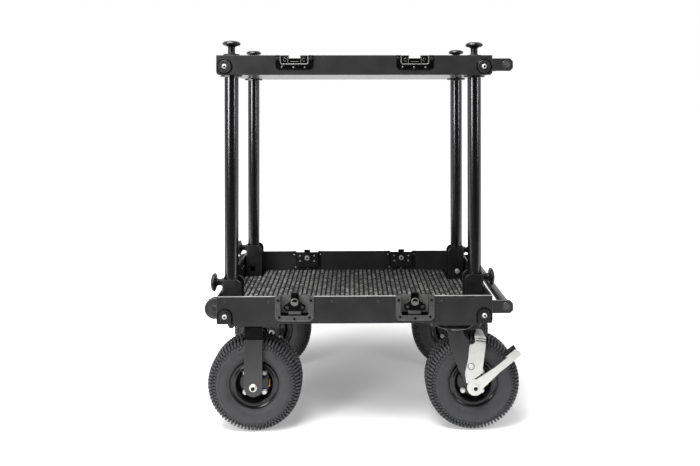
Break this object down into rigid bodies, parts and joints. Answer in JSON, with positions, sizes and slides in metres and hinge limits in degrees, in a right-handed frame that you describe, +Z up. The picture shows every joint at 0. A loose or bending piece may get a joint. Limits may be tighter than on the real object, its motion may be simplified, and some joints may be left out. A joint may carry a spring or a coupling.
{
  "type": "camera cart",
  "caption": "Camera cart with a carpeted lower tray, a lift-off top shelf on folding posts, push handles and pneumatic casters with brakes.",
  "frame": {"origin": "on the floor, under the middle of the whole cart's box", "axes": "+Z up, +X towards the push handles, -Y towards the side seen in the picture"},
  "size_m": [0.8687, 0.5302, 1.0808],
  "materials": {
    "powder_coat": "satin black powder coat on aluminium sheet",
    "black_steel": "satin black coated steel",
    "anodised_tube": "smooth black anodised tube",
    "loop_pile_carpet": "dark grey ribbed loop-pile carpet",
    "latch_dish": "dark grey coated pressed steel",
    "moulded_knob": "smooth black moulded plastic",
    "roller_rubber": "dark grey moulded rubber",
    "zinc_steel": "bright zinc plate",
    "rim_enamel": "gloss black enamel on pressed steel",
    "tyre_rubber": "dark grey treaded rubber"
  },
  "bodies": {
    "tray": {"tray_frame": "powder_coat", "tray_floor": "powder_coat", "tray_carpet": "loop_pile_carpet", "push_handle_lower": "powder_coat", "rigid_fork_front": "powder_coat", "rigid_fork_rear": "powder_coat", "axle_front_left": "zinc_steel", "axle_rear_left": "zinc_steel", "swivel_plate_front": "powder_coat", "swivel_plate_rear": "powder_coat", "latch_dish_front_left": "latch_dish", "latch_dish_front_right": "latch_dish", "latch_dish_rear_left": "latch_dish", "latch_dish_rear_right": "latch_dish", "post_bracket_front_left": "black_steel", "post_bracket_front_right": "black_steel", "post_bracket_rear_left": "black_steel", "post_bracket_rear_right": "black_steel"},
    "shelf": {"shelf_frame": "powder_coat", "shelf_floor": "powder_coat", "shelf_carpet": "loop_pile_carpet", "push_handle_upper": "powder_coat"},
    "post_front_left": {"post_front_left": "anodised_tube"},
    "plunger_front_left": {"index_plunger_front_left": "moulded_knob"},
    "top_knob_front_left": {"top_knob_front_left": "moulded_knob"},
    "latch_wing_front_left": {"latch_wing_front_left": "black_steel"},
    "latch_hook_front_left": {"latch_hook_front_left": "black_steel"},
    "post_front_right": {"post_front_right": "anodised_tube"},
    "plunger_front_right": {"index_plunger_front_right": "moulded_knob"},
    "top_knob_front_right": {"top_knob_front_right": "moulded_knob"},
    "latch_wing_front_right": {"latch_wing_front_right": "black_steel"},
    "latch_hook_front_right": {"latch_hook_front_right": "black_steel"},
    "post_rear_left": {"post_rear_left": "anodised_tube"},
    "plunger_rear_left": {"index_plunger_rear_left": "moulded_knob"},
    "top_knob_rear_left": {"top_knob_rear_left": "moulded_knob"},
    "latch_wing_rear_left": {"latch_wing_rear_left": "black_steel"},
    "latch_hook_rear_left": {"latch_hook_rear_left": "black_steel"},
    "post_rear_right": {"post_rear_right": "anodised_tube"},
    "plunger_rear_right": {"index_plunger_rear_right": "moulded_knob"},
    "top_knob_rear_right": {"top_knob_rear_right": "moulded_knob"},
    "latch_wing_rear_right": {"latch_wing_rear_right": "black_steel"},
    "latch_hook_rear_right": {"latch_hook_rear_right": "black_steel"},
    "wheel_front_left": {"rim_front_left": "rim_enamel", "tyre_front_left": "tyre_rubber"},
    "swivel_front": {"swivel_fork_front": "powder_coat", "axle_front_right": "zinc_steel"},
    "wheel_front_right": {"rim_front_right": "rim_enamel", "tyre_front_right": "tyre_rubber"},
    "brake_lever_front": {"brake_lever_front": "zinc_steel"},
    "brake_plate_front": {"brake_plate_front": "zinc_steel"},
    "roller_front": {"loading_roller_front": "roller_rubber"},
    "wheel_rear_left": {"rim_rear_left": "rim_enamel", "tyre_rear_left": "tyre_rubber"},
    "swivel_rear": {"swivel_fork_rear": "powder_coat", "axle_rear_right": "zinc_steel"},
    "wheel_rear_right": {"rim_rear_right": "rim_enamel", "tyre_rear_right": "tyre_rubber"},
    "brake_lever_rear": {"brake_lever_rear": "zinc_steel"},
    "brake_plate_rear": {"brake_plate_rear": "zinc_steel"},
    "roller_rear": {"loading_roller_rear": "roller_rubber"}
  },
  "joints": [
    {"name": "shelf_lift", "type": "slide", "parent": "tray", "child": "shelf", "axis": [0, 0, 1], "range_m": [0, 0.15]},
    {"name": "post_fold_front_left", "type": "hinge", "parent": "tray", "child": "post_front_left", "pos_m": [-0.36875, -0.199, 0.33805], "axis": [0, 1, 0], "range_deg": [0, 90]},
    {"name": "plunger_pull_front_left", "type": "slide", "parent": "tray", "child": "plunger_front_left", "axis": [-1, 0, 0], "range_m": [0, 0.008], "stiffness_N_per_m": 400, "springref_m": -0.005},
    {"name": "top_knob_turn_front_left", "type": "hinge", "parent": "shelf", "child": "top_knob_front_left", "pos_m": [-0.36875, -0.199, 1.038], "axis": [0, 0, 1], "range_deg": [0, 720]},
    {"name": "latch_turn_front_left", "type": "hinge", "parent": "tray", "child": "latch_wing_front_left", "pos_m": [-0.18825, -0.25, 0.362], "axis": [0, 1, 0], "range_deg": [0, 180]},
    {"name": "latch_draw_front_left", "type": "slide", "parent": "tray", "child": "latch_hook_front_left", "axis": [0, 0, 1], "range_m": [-0.0051, 0]},
    {"name": "post_fold_front_right", "type": "hinge", "parent": "tray", "child": "post_front_right", "pos_m": [0.32225, -0.157, 0.33805], "axis": [0, -1, 0], "range_deg": [0, 90]},
    {"name": "plunger_pull_front_right", "type": "slide", "parent": "tray", "child": "plunger_front_right", "axis": [1, 0, 0], "range_m": [0, 0.008], "stiffness_N_per_m": 400, "springref_m": -0.005},
    {"name": "top_knob_turn_front_right", "type": "hinge", "parent": "shelf", "child": "top_knob_front_right", "pos_m": [0.32225, -0.157, 1.038], "axis": [0, 0, 1], "range_deg": [0, 720]},
    {"name": "latch_turn_front_right", "type": "hinge", "parent": "tray", "child": "latch_wing_front_right", "pos_m": [0.14175, -0.25, 0.362], "axis": [0, 1, 0], "range_deg": [0, 180]},
    {"name": "latch_draw_front_right", "type": "slide", "parent": "tray", "child": "latch_hook_front_right", "axis": [0, 0, 1], "range_m": [-0.0051, 0]},
    {"name": "post_fold_rear_left", "type": "hinge", "parent": "tray", "child": "post_rear_left", "pos_m": [-0.36875, 0.199, 0.33805], "axis": [0, 1, 0], "range_deg": [0, 90]},
    {"name": "plunger_pull_rear_left", "type": "slide", "parent": "tray", "child": "plunger_rear_left", "axis": [-1, 0, 0], "range_m": [0, 0.008], "stiffness_N_per_m": 400, "springref_m": -0.005},
    {"name": "top_knob_turn_rear_left", "type": "hinge", "parent": "shelf", "child": "top_knob_rear_left", "pos_m": [-0.36875, 0.199, 1.038], "axis": [0, 0, 1], "range_deg": [0, 720]},
    {"name": "latch_turn_rear_left", "type": "hinge", "parent": "tray", "child": "latch_wing_rear_left", "pos_m": [-0.18825, 0.25, 0.362], "axis": [0, 1, 0], "range_deg": [0, 180]},
    {"name": "latch_draw_rear_left", "type": "slide", "parent": "tray", "child": "latch_hook_rear_left", "axis": [0, 0, 1], "range_m": [-0.0051, 0]},
    {"name": "post_fold_rear_right", "type": "hinge", "parent": "tray", "child": "post_rear_right", "pos_m": [0.32225, 0.157, 0.33805], "axis": [0, -1, 0], "range_deg": [0, 90]},
    {"name": "plunger_pull_rear_right", "type": "slide", "parent": "tray", "child": "plunger_rear_right", "axis": [1, 0, 0], "range_m": [0, 0.008], "stiffness_N_per_m": 400, "springref_m": -0.005},
    {"name": "top_knob_turn_rear_right", "type": "hinge", "parent": "shelf", "child": "top_knob_rear_right", "pos_m": [0.32225, 0.157, 1.038], "axis": [0, 0, 1], "range_deg": [0, 720]},
    {"name": "latch_turn_rear_right", "type": "hinge", "parent": "tray", "child": "latch_wing_rear_right", "pos_m": [0.14175, 0.25, 0.362], "axis": [0, 1, 0], "range_deg": [0, 180]},
    {"name": "latch_draw_rear_right", "type": "slide", "parent": "tray", "child": "latch_hook_rear_right", "axis": [0, 0, 1], "range_m": [-0.0051, 0]},
    {"name": "wheel_spin_front_left", "type": "hinge", "parent": "tray", "child": "wheel_front_left", "pos_m": [-0.30125, -0.198, 0.13], "axis": [0, 1, 0], "continuous": true},
    {"name": "caster_swivel_front", "type": "hinge", "parent": "tray", "child": "swivel_front", "pos_m": [0.25475, -0.198, 0.284], "axis": [0, 0, 1], "continuous": true},
    {"name": "wheel_spin_front_right", "type": "hinge", "parent": "swivel_front", "child": "wheel_front_right", "pos_m": [0.30475, -0.198, 0.13], "axis": [0, 1, 0], "continuous": true},
    {"name": "brake_press_front", "type": "hinge", "parent": "swivel_front", "child": "brake_lever_front", "pos_m": [0.30475, -0.198, 0.13], "axis": [0, 1, 0], "range_deg": [0, 30]},
    {"name": "brake_shoe_front", "type": "hinge", "parent": "swivel_front", "child": "brake_plate_front", "pos_m": [0.29395, -0.198, 0.1864], "axis": [0, 1, 0], "range_deg": [0, 2.01]},
    {"name": "roller_spin_front", "type": "hinge", "parent": "tray", "child": "roller_front", "pos_m": [-0.40625, -0.2377, 0.345], "axis": [0, 1, 0], "continuous": true},
    {"name": "wheel_spin_rear_left", "type": "hinge", "parent": "tray", "child": "wheel_rear_left", "pos_m": [-0.30125, 0.198, 0.13], "axis": [0, 1, 0], "continuous": true},
    {"name": "caster_swivel_rear", "type": "hinge", "parent": "tray", "child": "swivel_rear", "pos_m": [0.25475, 0.198, 0.284], "axis": [0, 0, 1], "continuous": true},
    {"name": "wheel_spin_rear_right", "type": "hinge", "parent": "swivel_rear", "child": "wheel_rear_right", "pos_m": [0.30475, 0.198, 0.13], "axis": [0, 1, 0], "continuous": true},
    {"name": "brake_press_rear", "type": "hinge", "parent": "swivel_rear", "child": "brake_lever_rear", "pos_m": [0.30475, 0.198, 0.13], "axis": [0, 1, 0], "range_deg": [0, 30]},
    {"name": "brake_shoe_rear", "type": "hinge", "parent": "swivel_rear", "child": "brake_plate_rear", "pos_m": [0.29395, 0.198, 0.1864], "axis": [0, 1, 0], "range_deg": [0, 2.01]},
    {"name": "roller_spin_rear", "type": "hinge", "parent": "tray", "child": "roller_rear", "pos_m": [-0.40625, 0.2377, 0.345], "axis": [0, 1, 0], "continuous": true}
  ],
  "couplings": [
    {"joint": "latch_draw_front_left", "follows": "latch_turn_front_left", "m_per_rad": -0.0015915},
    {"joint": "latch_draw_front_right", "follows": "latch_turn_front_right", "m_per_rad": -0.0015915},
    {"joint": "latch_draw_rear_left", "follows": "latch_turn_rear_left", "m_per_rad": -0.0015915},
    {"joint": "latch_draw_rear_right", "follows": "latch_turn_rear_right", "m_per_rad": -0.0015915},
    {"joint": "brake_shoe_front", "follows": "brake_press_front", "ratio": 0.066667},
    {"joint": "brake_shoe_rear", "follows": "brake_press_rear", "ratio": 0.066667}
  ]
}
